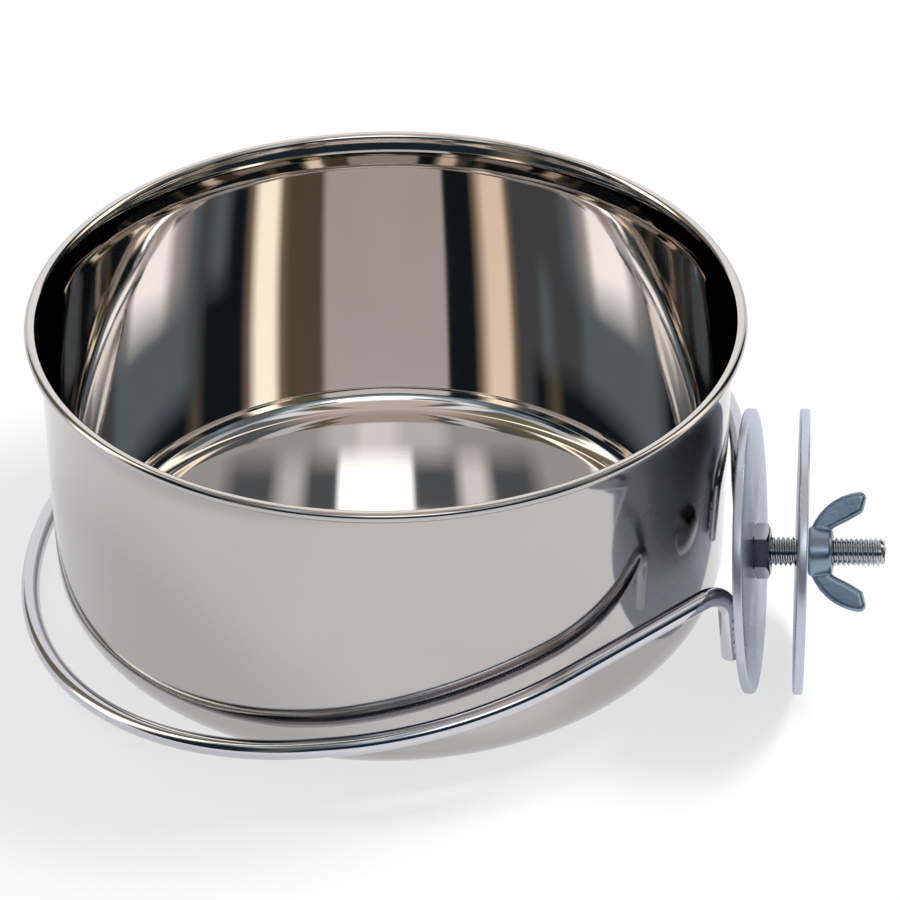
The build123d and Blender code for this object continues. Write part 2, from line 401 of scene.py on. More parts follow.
class Bench:
    """Modelling steps shared by all pieces."""

    @staticmethod
    def clear() -> None:
        """Leave edit mode and deselect everything."""
        if bpy.context.object is not None and bpy.context.object.mode != "OBJECT":
            bpy.ops.object.mode_set(mode="OBJECT")
        bpy.ops.object.select_all(action="DESELECT")

    @staticmethod
    def pick(piece: bpy.types.Object) -> None:
        """Make one piece the selected and active object.

        Args:
            piece: Piece to pick.
        """
        Bench.clear()
        piece.select_set(True)
        bpy.context.view_layer.objects.active = piece

    @staticmethod
    def trace(name: str, spots: list[Vector]) -> bpy.types.Object:
        """Start a piece as a chain of edges, left in edit mode with its last vertex selected.

        Args:
            name: Name of the piece.
            spots: Where the chain goes.

        Returns:
            The new object.
        """
        Bench.clear()
        bpy.ops.mesh.primitive_plane_add(size=MM, location=(0.0, 0.0, 0.0))
        piece = bpy.context.object
        piece.name = name
        piece.data.name = name
        bpy.ops.object.mode_set(mode="EDIT")
        bpy.ops.mesh.select_all(action="SELECT")
        bpy.ops.mesh.merge(type="CENTER")
        bpy.ops.transform.translate(value=spots[0])
        for last, spot in zip(spots, spots[1:]):
            Bench.extrude(spot - last)
        return piece

    @staticmethod
    def extrude(shift: Vector) -> None:
        """Extrude what is selected in edit mode.

        Args:
            shift: How far it goes.
        """
        bpy.ops.mesh.extrude_region_move(TRANSFORM_OT_translate={"value": shift})

    @staticmethod
    def lathe(name: str, outline: list[Point], steps: int, closed: bool = False) -> bpy.types.Object:
        """Draw an outline and spin it about Z.

        Args:
            name: Name of the piece.
            outline: Radius and height of each point, in metres.
            steps: Steps of a full turn.
            closed: Whether the last point joins the first.

        Returns:
            The turned piece, in object mode.
        """
        spots = [Vector((r, 0.0, z)) for r, z in outline]
        piece = Bench.trace(name, spots + (spots[:1] if closed else []))
        bpy.ops.mesh.select_all(action="SELECT")
        bpy.ops.mesh.remove_doubles(threshold=MERGE)
        bpy.ops.mesh.select_all(action="SELECT")
        bpy.ops.mesh.spin(steps=steps, angle=math.tau, center=(0.0, 0.0, 0.0), axis=(0.0, 0.0, 1.0))
        Bench.close(piece)
        return piece

    @staticmethod
    def close(piece: bpy.types.Object) -> None:
        """Merge doubles, turn faces outwards and leave edit mode.

        Args:
            piece: Piece to close.
        """
        Bench.pick(piece)
        bpy.ops.object.mode_set(mode="EDIT")
        bpy.ops.mesh.select_all(action="SELECT")
        bpy.ops.mesh.remove_doubles(threshold=MERGE)
        bpy.ops.mesh.delete_loose()
        bpy.ops.mesh.select_all(action="SELECT")
        bpy.ops.mesh.normals_make_consistent(inside=False)
        bpy.ops.object.mode_set(mode="OBJECT")

    @staticmethod
    def place(piece: bpy.types.Object, where: Matrix) -> None:
        """Move a piece and keep its place in its mesh.

        Args:
            piece: Piece to move.
            where: Its new place.
        """
        Bench.pick(piece)
        piece.matrix_world = where
        bpy.ops.object.transform_apply(location=True, rotation=True, scale=True)

    @staticmethod
    def smooth(piece: bpy.types.Object, degrees: float) -> None:
        """Shade a piece smooth except over sharp edges.

        Args:
            piece: Piece to shade.
            degrees: Angle from which an edge stays sharp.
        """
        Bench.pick(piece)
        bpy.ops.object.shade_smooth_by_angle(angle=math.radians(degrees))

    @staticmethod
    def modify(piece: bpy.types.Object, kind: str, **settings: object) -> None:
        """Add a modifier and apply it.

        Args:
            piece: Piece to change.
            kind: Type of the modifier.
            **settings: Values of the modifier.
        """
        Bench.pick(piece)
        step = piece.modifiers.new(kind.lower(), kind)
        for name, value in settings.items():
            setattr(step, name, value)
        bpy.ops.object.modifier_apply(modifier=step.name)

    @staticmethod
    def soften(piece: bpy.types.Object, voxel: float, passes: int) -> None:
        """Melt a piece into one skin and smooth it.

        Args:
            piece: Piece to change.
            voxel: Size of the new mesh.
            passes: How many times it is smoothed.
        """
        Bench.modify(piece, "REMESH", mode="VOXEL", voxel_size=voxel)
        Bench.modify(piece, "SMOOTH", factor=0.5, iterations=passes)

    @staticmethod
    def carve(piece: bpy.types.Object, tool: bpy.types.Object, how: str) -> None:
        """Combine a piece with a tool body and remove the tool.

        Args:
            piece: Piece to change.
            tool: Body that cuts, joins or bounds it.
            how: Kind of combination.
        """
        Bench.modify(piece, "BOOLEAN", object=tool, operation=how, solver="EXACT")
        bpy.data.objects.remove(tool)

    @staticmethod
    def join(*pieces: bpy.types.Object) -> bpy.types.Object:
        """Put several pieces into the first one.

        Args:
            *pieces: Pieces to join.

        Returns:
            The first piece, with the meshes of all.
        """
        Bench.clear()
        for piece in pieces:
            piece.select_set(True)
        bpy.context.view_layer.objects.active = pieces[0]
        bpy.ops.object.join()
        return pieces[0]

    @staticmethod
    def between(start: Point, end: Point, count: int) -> list[Point]:
        """Points that divide a straight stretch of an outline.

        Args:
            start: Where it starts.
            end: Where it ends.
            count: Number of steps.

        Returns:
            The points, both ends left out.
        """
        shares = [i / count for i in range(1, count)]
        return [(start[0] + (end[0] - start[0]) * s, start[1] + (end[1] - start[1]) * s) for s in shares]

    @staticmethod
    def arc(centre: Point, radius: float, start: float, end: float, count: int) -> list[Point]:
        """Points of an arc in an outline.

        Args:
            centre: Centre of the arc.
            radius: Radius of the arc.
            start: First angle in radians.
            end: Last angle in radians.
            count: Number of steps.

        Returns:
            The points, both ends included.
        """
        angles = [start + (end - start) * i / count for i in range(count + 1)]
        return [(centre[0] + radius * math.cos(a), centre[1] + radius * math.sin(a)) for a in angles]

    @staticmethod
    def arc_through(start: Point, middle: Point, end: Point, count: int) -> list[Point]:
        """Points of the arc that leads from a start through a middle to an end.

        Args:
            start: Where it starts.
            middle: Where it passes.
            end: Where it ends.
            count: Number of steps.

        Returns:
            The points, both ends included.
        """
        near = Vector(middle) - Vector(start)
        far = Vector(end) - Vector(start)
        side = 2.0 * near.cross(far)
        lift = near.length_squared * far - far.length_squared * near
        arm = Vector((lift.y, -lift.x)) / side
        centre = Vector(start) + arm
        first = math.atan2(-arm.y, -arm.x)
        last = math.atan2(end[1] - centre.y, end[0] - centre.x)
        turn = (last - first) % math.tau
        if side < 0.0:
            turn -= math.tau
        return Bench.arc((centre.x, centre.y), arm.length, first, first + turn, count)


def hand_over(piece: bpy.types.Object, body: Body, finish: MetalFinish, *nodes: str) -> None:
    """Dress a finished piece and tie it to its body and the solids that it stands for.

    Args:
        piece: Finished piece.
        body: Body that it rides on.
        finish: Finish that it gets.
        *nodes: Solids that it replaces.
    """
    finish.dress(piece)
    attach(piece, body.value)
    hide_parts(*nodes)
    LOG.info("%s: %d faces on %s", piece.name, len(piece.data.polygons), body.value)


@dataclass
class Cup:
    """The drawn cup with its rounded corner, flared lip and rolled bead."""

    wall: float = CUP_WALL
    height: float = 70.0 * MM
    sheet: float = 0.7 * MM
    corner: float = 14.0 * MM
    overhang: float = 2.8 * MM
    bead: float = 1.2 * MM
    bead_start: float = -1.95
    bead_end: float = math.pi + 0.35
    lip_rise: float = 7.5 * MM
    inner_corner: float = 6.5 * MM
    inner_drop: float = 4.3 * MM
    inner_rows: int = 28
    inner_rounds: int = 20
    # Darker tone of the outer skin is painted shade over the steel's own colour; the added roughness below is
    # the real duller finish
    outer_shade_tone: Tone = (0.70, 0.71, 0.73)
    outer_roughness: float = 0.05
    steps: int = 320

    @property
    def bead_mid(self) -> Point:
        """Middle of the rolled bead."""
        return (self.wall + self.overhang - self.bead, self.height - self.bead)

    @property
    def lip_low(self) -> float:
        """Height where the lip starts to flare."""
        return self.bead_mid[1] - self.lip_rise

    @property
    def flare(self) -> float:
        """Radius of the flared lip's outside."""
        lip_out = self.bead_mid[0] - self.wall
        return (self.lip_rise**2 + lip_out**2) / (2 * lip_out)

    def outside(self) -> list[Point]:
        """Section from the middle of the underside to the foot of the lip.

        Returns:
            Radius and height of each point.
        """
        flat = self.wall - self.corner
        under = [(0.0, 0.0)] + Bench.between((0.0, 0.0), (flat, 0.0), count=12)
        under += Bench.arc((flat, self.corner), self.corner, -QUARTER, 0.0, count=20)
        return under + Bench.between((self.wall, self.corner), (self.wall, self.lip_low), count=12)

    def lip(self) -> list[Point]:
        """Section of the flared lip and its bead, from the outside to the inside.

        Returns:
            Radius and height of each point.
        """
        middle = (self.wall + self.flare, self.lip_low)
        edge = math.pi - math.asin(self.lip_rise / self.flare)
        lip = Bench.arc(middle, self.flare, math.pi, edge, count=12)[:-1]
        lip += Bench.arc(self.bead_mid, self.bead, self.bead_start, self.bead_end, count=26)
        return lip + Bench.arc(middle, self.flare + self.sheet, edge, math.pi, count=12)[1:]

    def inside(self) -> list[Point]:
        """Section down the inside wall, which curves in a little, and over the floor to its middle.

        Returns:
            Radius and height of each point.
        """
        depth = self.lip_low - self.inner_corner
        cove_z = self.sheet + self.inner_corner
        foot_z = self.sheet
        turn = 0.0
        # These rounds settle the height where the curved wall runs into the cove without a break
        for _ in range(self.inner_rounds):
            turn = math.atan(2.0 * self.inner_drop * (self.lip_low - foot_z) / depth**2)
            foot_z = cove_z - self.inner_corner * math.sin(turn)
        wall = []
        for row in range(1, self.inner_rows + 1):
            below = (self.lip_low - foot_z) * row / self.inner_rows
            wall.append((self.wall - self.sheet - self.inner_drop * (below / depth)**2, self.lip_low - below))
        cove_r = wall.pop()[0] - self.inner_corner * math.cos(turn)
        cove = Bench.arc((cove_r, cove_z), self.inner_corner, -turn, -QUARTER, count=32)
        floor = Bench.between((cove_r, self.sheet), (0.0, self.sheet), count=24)
        return wall + cove + floor + [(0.0, self.sheet)]

    def skin(self) -> Skin:
        """The duller outer skin with its painted shade, which ends just under the outside.

        Returns:
            The skin.
        """
        return Skin(
            corner=(self.wall - self.corner, self.corner),
            reach=self.corner - self.sheet / 10,
            lip_low=self.lip_low,
            lip_curve=self.flare + self.sheet / 2,
            tone=self.outer_shade_tone,
            roughness=self.outer_roughness,
        )

    def build(self) -> None:
        """Turn the section into the cup and dress it."""
        cup = Bench.lathe("polished_cup", self.outside() + self.lip() + self.inside(), self.steps)
        Bench.pick(cup)
        bpy.ops.object.shade_smooth()
        hand_over(cup, Body.CUP, replace(CUP_STEEL, skin=self.skin()), "cup")


@dataclass
class ClampFrame:
    """Directions and centre of the clamp, shared by the ring's legs and the fasteners."""

    tilt: float = math.radians(5.5)
    shift: float = -19.5 * MM
    standoff: float = 4.3 * MM

    @property
    def centre(self) -> Vector:
        """Middle of the inner plate, which stands on the floor with its lower edge."""
        away = CUP_WALL + SIDE_CLEARANCE + WIRE + self.standoff
        rise = PLATE_RADIUS * math.cos(self.tilt) + PLATE_THICK / 2 * math.sin(self.tilt)
        return Vector((away, self.shift, rise))

    @property
    def out(self) -> Vector:
        """Outward direction along the bolt."""
        return Vector((math.cos(self.tilt), 0.0, math.sin(self.tilt)))

    @property
    def down(self) -> Vector:
        """Direction down along the plates."""
        return Vector((math.sin(self.tilt), 0.0, -math.cos(self.tilt)))

    @property
    def side(self) -> Vector:
        """Direction across the plates."""
        return Vector((0.0, 1.0, 0.0))

    def seat(self, along: float, turn: float = 0.0, lean: float = 0.0, tip: float = 0.0) -> Matrix:
        """Place on the bolt's axis for a piece that was made along Z.

        Args:
            along: Distance from the inner plate's middle.
            turn: Turn about the bolt in radians.
            lean: How far the piece faces to the side, in radians.
            tip: How far the piece faces down, in radians.

        Returns:
            The place as a matrix.
        """
        basis = Matrix((self.side, -self.down, self.out)).transposed().to_4x4()
        spot = Matrix.Translation(self.centre + self.out * along)
        face = Vector((math.tan(lean), -math.tan(tip), 1.0)).normalized()
        slant = Vector((0.0, 0.0, 1.0)).rotation_difference(face).to_matrix().to_4x4()
        return spot @ basis @ slant @ Matrix.Rotation(turn, 4, "Z")


@dataclass(frozen=True)
class Leg:
    """One end of the wire: its run from the ring, the bend down and the leg beside the plate."""

    angle: float
    touch: Vector
    run: Vector
    turn: float
    high: Vector
    pivot: Vector
    low: Vector
    end: Vector


@dataclass
class HolderRing:
    """The bent wire: a ring round the cup with two legs beside the inner plate."""

    clamp: ClampFrame
    slope: float = math.radians(12.0)
    roll: float = math.radians(4.0)
    shift: float = -0.6 * MM
    stretch: float = 4.0 * MM
    bend: float = 5.0 * MM
    leg_half: float = 18.0 * MM
    leg_length: float = 17.5 * MM
    end_round: float = 0.5 * MM
    end_sharp: float = math.radians(60.0)
    goal_slack: float = 0.05 * MM
    wire_sides: int = 40
    bend_steps: int = 14
    front_steps: int = 36
    far_steps: int = 150
    rear_steps: int = 80
    weld_gap: float = 0.3 * MM
    weld_inset: float = 1.5 * MM
    weld_length: float = 9.5 * MM
    weld_sink: float = 0.9 * MM
    weld_size: Vector = field(default_factory=lambda: Vector((1.2, 2.3, 1.6)) * MM)
    weld_ripple: float = 0.25 * MM
    weld_blobs: int = 5
    weld_spare: float = 0.6
    weld_voxel: float = 0.16 * MM

    @property
    def radius(self) -> float:
        """Radius of the wire's middle line, which clears the cup's wall where the ring is tilted."""
        return (CUP_WALL + SIDE_CLEARANCE + WIRE) / math.cos(self.slope)

    @property
    def out(self) -> Vector:
        """Direction in the ring's plane that rises towards the clamp."""
        return Vector((math.cos(self.slope), 0.0, math.sin(self.slope)))

    @property
    def up(self) -> Vector:
        """Normal of the ring's plane."""
        level = Vector((0.0, math.cos(self.roll), math.sin(self.roll)))
        return self.out.cross(level).normalized()

    @property
    def side(self) -> Vector:
        """Direction in the ring's plane across the clamp."""
        return self.up.cross(self.out)

    @property
    def near(self) -> Vector:
        """Centre of the half circle near the clamp, with the other half's lowest point on the floor."""
        rise = WIRE + self.radius * math.hypot(self.out.z, self.side.z) + self.stretch * self.out.z
        return Vector((0.0, self.shift, rise))

    @property
    def far(self) -> Vector:
        """Centre of the half circle away from the clamp."""
        return self.near - self.out * self.stretch

    def on_ring(self, angle: float) -> Vector:
        """Point of the wire's middle line on the half circle near the clamp.

        Args:
            angle: Angle from the rising direction.

        Returns:
            The point.
        """
        across = self.side * (self.radius * math.sin(angle))
        return self.near + self.out * (self.radius * math.cos(angle)) + across

    def leg(self, side: float) -> Leg:
        """Work out one end of the wire.

        Args:
            side: -1 for the front leg and 1 for the rear leg.

        Returns:
            The points of the run, the bend and the leg.
        """
        offset = PLATE_THICK / 2 + self.weld_gap + WIRE
        beside = self.clamp.centre - self.clamp.out * offset + self.clamp.side * (side * self.leg_half)
        drop = (self.near - beside).dot(self.up) / self.clamp.down.dot(self.up)
        corner = beside + self.clamp.down * drop
        along = (corner - self.near).dot(self.out)
        across = (corner - self.near).dot(self.side)
        angle = math.atan2(across, along) + side * math.acos(self.radius / math.hypot(along, across))
        touch = self.on_ring(angle)
        run = (corner - touch).normalized()
        turn = math.acos(run.dot(self.clamp.down))
        back = self.bend * math.tan(turn / 2)
        inward = (self.clamp.down - run).normalized()
        return Leg(
            angle=angle,
            touch=touch,
            run=run,
            turn=turn,
            high=corner - run * back,
            pivot=corner + inward * (self.bend / math.cos(turn / 2)),
            low=corner + self.clamp.down * back,
            end=corner + self.clamp.down * self.leg_length,
        )

    def build(self) -> None:
        """Extrude and spin the wire along its path, then add the welds."""
        front = self.leg(-1.0)
        rear = self.leg(1.0)
        down = self.clamp.down
        shift = self.far - self.near
        Bench.clear()
        upright = (-down).to_track_quat("Z", "Y").to_euler()
        bpy.ops.mesh.primitive_circle_add(vertices=self.wire_sides, radius=WIRE, location=front.end,
                                          rotation=upright)
        ring = bpy.context.object
        ring.name = "ring_wire"
        bpy.ops.object.transform_apply(location=True, rotation=True, scale=True)
        bpy.ops.object.mode_set(mode="EDIT")
        bpy.ops.mesh.select_all(action="SELECT")
        Bench.extrude(front.low - front.end)
        self._spin(front.pivot, down.cross(front.run), front.turn, self.bend_steps, front.high)
        Bench.extrude(front.touch - front.high)
        self._spin(self.near, -self.up, QUARTER + front.angle, self.front_steps, self.on_ring(-QUARTER))
        Bench.extrude(shift)
        self._spin(self.far, -self.up, math.pi, self.far_steps, self.on_ring(QUARTER) + shift)
        Bench.extrude(-shift)
        self._spin(self.near, -self.up, QUARTER - rear.angle, self.rear_steps, rear.touch)
        Bench.extrude(rear.high - rear.touch)
        self._spin(rear.pivot, rear.run.cross(down), rear.turn, self.bend_steps, rear.low)
        Bench.extrude(rear.end - rear.low)
        self._cap()
        Bench.close(ring)
        Bench.smooth(ring, degrees=40.0)
        hand_over(ring, Body.HOLDER, RING_PLATE, "holder_ring")
        self._weld("front_weld_bead", front, "front_weld")
        self._weld("rear_weld_bead", rear, "rear_weld")

    def _spin(self, pivot: Vector, axis: Vector, angle: float, steps: int, goal: Vector) -> None:
        """Spin the wire's open end round a bend and test where it ends.

        Args:
            pivot: Centre of the bend.
            axis: Axis of the bend.
            angle: Angle of the bend.
            steps: Steps of the bend.
            goal: Where the middle of the open end should arrive.
        """
        bpy.ops.mesh.spin(steps=steps, angle=-angle, center=pivot, axis=axis.normalized(),
                          use_auto_merge=False)
        bpy.context.object.update_from_editmode()
        ends = [v.co for v in bpy.context.object.data.vertices if v.select]
        middle = sum(ends, Vector()) / len(ends)
        if (middle - goal).length > self.goal_slack:
            LOG.warning("bend ends %.2f mm from its goal", (middle - goal).length / MM)

    def _cap(self) -> None:
        """Close both ends of the wire and round their edges."""
        bpy.ops.mesh.select_mode(type="EDGE")
        bpy.ops.mesh.select_all(action="SELECT")
        bpy.ops.mesh.fill_holes(sides=0)
        bpy.ops.mesh.select_all(action="DESELECT")
        bpy.ops.mesh.edges_select_sharp(sharpness=self.end_sharp)
        bpy.ops.mesh.bevel(offset=self.end_round, segments=3)
        bpy.ops.mesh.select_mode(type="VERT")

    def _weld(self, name: str, leg: Leg, node: str) -> None:
        """Lay a lumpy bead between a leg and the plate.

        Args:
            name: Name of the piece.
            leg: The leg.
            node: Solid that the bead replaces.
        """
        middle = leg.end - self.clamp.down * (self.weld_inset + self.weld_length / 2)
        spot = middle + self.clamp.out * (WIRE + self.weld_gap - self.weld_sink)
        step = self.weld_length / (self.weld_blobs + self.weld_spare)
        blobs = []
        for i in range(self.weld_blobs):
            Bench.clear()
            at = spot + self.clamp.down * ((i - (self.weld_blobs - 1) / 2) * step)
            bpy.ops.mesh.primitive_uv_sphere_add(segments=20, ring_count=12, radius=1.0, location=at)
            blob = bpy.context.object
            blob.scale = self.weld_size + self.clamp.side * (self.weld_ripple * (i % 2))
            blob.rotation_euler = (0.0, -self.clamp.tilt, 0.0)
            bpy.ops.object.transform_apply(location=True, rotation=True, scale=True)
            blobs.append(blob)
        bead = Bench.join(*blobs)
        bead.name = name
        Bench.soften(bead, self.weld_voxel, passes=6)
        Bench.close(bead)
        Bench.pick(bead)
        bpy.ops.object.shade_smooth()
        hand_over(bead, Body.HOLDER, WELD_METAL, node)


@dataclass
class Clamp:
    """Plates, bolt, lock nut and wing nut."""

    seat: ClampFrame
    plate: float = PLATE_RADIUS
    thick: float = PLATE_THICK
    gap: float = 8.4 * MM
    rounding: float = 0.45 * MM
    lean: float = math.radians(3.5)
    tip: float = math.radians(4.0)
    thread: float = 3.0 * MM
    depth: float = 0.55 * MM
    pitch: float = 1.0 * MM
    crest_share: float = 0.12
    thread_steps: int = 40
    spare_turns: int = 3
    reach: float = 27.5 * MM
    end_taper: float = 0.9 * MM
    end_undercut: float = 0.1 * MM
    overlap: float = 0.1 * MM
    fit: float = 0.05 * MM
    loose: float = 0.5 * MM
    flats: float = 10.0 * MM
    crown: float = 0.6 * MM
    slack: float = 0.5 * MM
    head: float = 2.2 * MM
    nut: float = 3.2 * MM
    bore_flare: float = 0.35 * MM
    hub: float = 5.2 * MM
    hub_taper: float = 0.5 * MM
    hub_length: float = 5.0 * MM
    hub_seat: float = 0.05 * MM
    hub_edge: float = 0.5 * MM
    hub_foot: float = 0.4 * MM
    hub_waist: Point = (5.1 * MM, 1.6 * MM)
    wing_reach: float = 12.4 * MM
    wing_length: float = 11.8 * MM
    wing_thick: float = 3.0 * MM
    wing_turn: float = math.radians(35.0)
    wing_root: float = 0.5 * MM
    wing_inset: float = 0.2 * MM
    wing_corner: float = 1.4 * MM
    wing_round: float = 0.3
    wing_back: Point = (0.77, 0.33)
    wing_front: Point = (0.51, 0.68)
    wing_shoulder: float = 0.66
    wing_bevel: float = 0.9 * MM
    wing_sharp: float = math.radians(50.0)
    cast_voxel: float = 0.17 * MM

    def build(self) -> None:
        """Make each piece of the clamp and seat it on the bolt's axis."""
        inner_at = self.seat.seat(0.0)
        self._plate("inner_clamp_plate", self.thread + self.fit, inner_at, Body.HOLDER, "inner_plate")
        outer_at = self.seat.seat(self.thick + self.gap, 0.0, self.lean, self.tip)
        self._plate("outer_clamp_plate", self.thread + self.loose, outer_at, Body.OUTER_PLATE, "outer_plate")
        self._bolt()
        self._lock_nut()
        self._wing_nut()

    def _plate(self, name: str, hole: float, where: Matrix, body: Body, node: str) -> None:
        """Turn one plate with rounded edges and a hole.

        Args:
            name: Name of the piece.
            hole: Radius of the hole.
            where: Its place on the bolt.
            body: Body that it rides on.
            node: Solid that it replaces.
        """
        half = self.thick / 2
        r = self.rounding
        flat = self.plate - r
        outline = [(hole, -half)] + Bench.between((hole, -half), (flat, -half), count=6)
        outline += Bench.arc((flat, -half + r), r, -QUARTER, 0.0, count=5)
        outline += Bench.arc((flat, half - r), r, 0.0, QUARTER, count=5)
        outline += Bench.between((flat, half), (hole, half), count=6) + [(hole, half)]
        plate = Bench.lathe(name, outline, steps=180, closed=True)
        Bench.place(plate, where)
        Bench.smooth(plate, degrees=35.0)
        hand_over(plate, body, SHEET_PLATE, node)

    def _hexagon(self, name: str, low: float, high: float, crown_low: bool) -> bpy.types.Object:
        """Make a hexagon with its corners turned off, standing on the axis.

        Args:
            name: Name of the piece.
            low: Lower end along the bolt.
            high: Upper end along the bolt.
            crown_low: Whether the lower end is turned off more than the upper.

        Returns:
            The hexagon, still along Z.
        """
        half_face = math.pi / 6
        corner = self.flats / 2 / math.cos(half_face)
        Bench.clear()
        bpy.ops.mesh.primitive_cylinder_add(vertices=6, radius=corner, depth=high - low,
                                            location=(0.0, 0.0, (low + high) / 2),
                                            rotation=(0.0, 0.0, half_face))
        piece = bpy.context.object
        piece.name = name
        bpy.ops.object.transform_apply(location=True, rotation=True, scale=True)
        low_cut = self.crown if crown_low else self.crown / 2
        high_cut = self.crown / 2 if crown_low else self.crown
        wide = corner + self.slack
        outline = [(0.0, low), (corner - 2 * low_cut, low), (wide, low + low_cut + self.slack / 2)]
        outline += [(wide, high - high_cut - self.slack / 2), (corner - 2 * high_cut, high), (0.0, high)]
        Bench.carve(piece, Bench.lathe("crown_tool", outline, steps=96), "INTERSECT")
        return piece

    def _bolt(self) -> None:
        """Make the bolt: a hexagon head, a helical thread and a turned-off end."""
        half = self.thick / 2
        root = self.thread - self.depth
        head = self._hexagon("clamp_bolt_head", -half - self.head, -half, True)
        low = half - self.pitch
        middle = low + self.pitch / 2
        crest = self.crest_share * self.pitch
        tooth = [(root, low), (root, low + crest), (self.thread, middle), (self.thread, middle + crest)]
        tooth.append((root, low + self.pitch))
        stem = Bench.trace("clamp_bolt_zinc", [Vector((r, 0.0, z)) for r, z in tooth])
        turns = int((self.reach - half) / self.pitch) + self.spare_turns
        Bench.modify(stem, "SCREW", angle=math.tau, screw_offset=self.pitch, iterations=turns,
                     steps=self.thread_steps, render_steps=self.thread_steps, use_merge_vertices=True,
                     merge_threshold=MERGE)
        Bench.close(stem)
        self._cut_end(stem, half - 2 * self.overlap, False)
        self._cut_end(stem, self.reach, True)
        self._turn_off(stem, root)
        Bench.close(stem)
        foot = -half - self.overlap
        outline = [(0.0, foot), (self.thread, foot), (self.thread, half), (0.0, half)]
        Bench.join(stem, head, Bench.lathe("bolt_neck", outline, steps=48))
        Bench.place(stem, self.seat.seat(0.0))
        Bench.smooth(stem, degrees=32.0)
        hand_over(stem, Body.HOLDER, BOLT_ZINC, "clamp_bolt")

    def _cut_end(self, piece: bpy.types.Object, height: float, above: bool) -> None:
        """Cut a piece square to its axis and fill the cut.

        Args:
            piece: Piece to cut.
            height: Where the cut is.
            above: Whether what lies above goes, or what lies below.
        """
        Bench.pick(piece)
        bpy.ops.object.mode_set(mode="EDIT")
        bpy.ops.mesh.select_all(action="SELECT")
        bpy.ops.mesh.bisect(plane_co=(0.0, 0.0, height), plane_no=(0.0, 0.0, 1.0), use_fill=True,
                            clear_outer=above, clear_inner=not above)
        bpy.ops.object.mode_set(mode="OBJECT")

    def _turn_off(self, piece: bpy.types.Object, root: float) -> None:
        """Taper the last of the thread.

        Args:
            piece: Bolt stem along Z.
            root: Radius at the foot of the thread.
        """
        for vertex in piece.data.vertices:
            past = vertex.co.z - (self.reach - self.end_taper)
            away = math.hypot(vertex.co.x, vertex.co.y)
            limit = self.thread - (self.thread - root + self.end_undercut) * past / self.end_taper
            if past > 0.0 and away > limit:
                vertex.co.x *= limit / away
                vertex.co.y *= limit / away

    def _bore(self, piece: bpy.types.Object, low: float, high: float) -> None:
        """Bore a piece along its axis.

        Args:
            piece: Piece to bore.
            low: Lower end of the bore.
            high: Upper end of the bore.
        """
        r = self.thread + self.fit
        flare = self.bore_flare
        wide = r + flare + self.slack
        outline = [(0.0, low - self.slack), (wide, low - self.slack), (r, low + flare), (r, high - flare)]
        outline += [(wide, high + self.slack), (0.0, high + self.slack)]
        Bench.carve(piece, Bench.lathe("bore_tool", outline, steps=64), "DIFFERENCE")

    def _lock_nut(self) -> None:
        """Make the hexagon nut on the inner plate."""
        low = self.thick / 2
        high = low + self.nut
        nut = self._hexagon("lock_nut_zinc", low, high, False)
        self._bore(nut, low, high)
        Bench.close(nut)
        Bench.place(nut, self.seat.seat(0.0))
        Bench.smooth(nut, degrees=25.0)
        hand_over(nut, Body.HOLDER, BOLT_ZINC, "lock_nut")

    def _wing_nut(self) -> None:
        """Make the cast wing nut with its hub and two rounded wings."""
        steep = math.hypot(math.tan(self.lean), math.tan(self.tip))
        start = self.thick / 2 + self.gap + self.thick
        start += self.hub * steep + self.thick / 2 * (math.hypot(1.0, steep) - 1.0) + self.hub_seat
        top = self.hub - self.hub_taper
        outline = [(0.0, 0.0), (self.hub - self.hub_foot, 0.0), (self.hub, self.hub_edge), self.hub_waist]
        outline += [(top, self.hub_length - self.hub_edge), (top - self.hub_edge, self.hub_length)]
        nut = Bench.lathe("wing_nut_cast", outline + [(0.0, self.hub_length)], steps=72)
        for side in (1.0, -1.0):
            Bench.carve(nut, self._wing(side), "UNION")
        Bench.soften(nut, self.cast_voxel, passes=9)
        self._bore(nut, 0.0, self.hub_length)
        Bench.close(nut)
        Bench.place(nut, self.seat.seat(start, -self.wing_turn))
        Bench.smooth(nut, degrees=40.0)
        hand_over(nut, Body.WING_NUT, CAST_ZINC, "wing_nut")

    def _wing_outline(self) -> list[Point]:
        """Outline of one wing, from the axis out along its back, round its tip and in along its front.

        The middles of its back and front and its shoulder are shares of its reach and length.

        Returns:
            Distance from the axis and place along it of each point.
        """
        reach = self.wing_reach
        length = self.wing_length
        corner = self.wing_corner
        start = (self.hub - self.wing_root, self.wing_root)
        back = (self.wing_back[0] * reach, self.wing_back[1] * length)
        tip = (reach, length - corner)
        inset = self.wing_round * corner
        round_middle = (reach - inset, length - inset)
        round_end = (reach - corner, length)
        shoulder = (self.wing_shoulder * reach, length - corner / 2)
        front = (self.wing_front[0] * reach, self.wing_front[1] * length)
        foot = (self.hub - self.hub_taper, self.hub_length - self.wing_root)
        outline = [(0.0, self.wing_root)] + Bench.arc_through(start, back, tip, count=7)
        outline += Bench.arc_through(tip, round_middle, round_end, count=3)[1:]
        outline += Bench.arc_through(shoulder, front, foot, count=5)[:-1]
        return outline + [(foot[0] - self.wing_inset, foot[1]), (0.0, foot[1])]

    def _wing(self, side: float) -> bpy.types.Object:
        """Make one wing from its outline.

        Args:
            side: 1 for the wing that stands up before the nut is turned, -1 for the other.

        Returns:
            The wing, along Z.
        """
        spots = [Vector((-self.wing_thick / 2, side * y, z)) for y, z in self._wing_outline()]
        wing = Bench.trace("wing", spots)
        bpy.ops.mesh.select_all(action="SELECT")
        bpy.ops.mesh.edge_face_add()
        Bench.extrude(Vector((self.wing_thick, 0.0, 0.0)))
        Bench.close(wing)
        Bench.modify(wing, "BEVEL", width=self.wing_bevel, segments=4, limit_method="ANGLE",
                     angle_limit=self.wing_sharp)
        Bench.close(wing)
        return wing


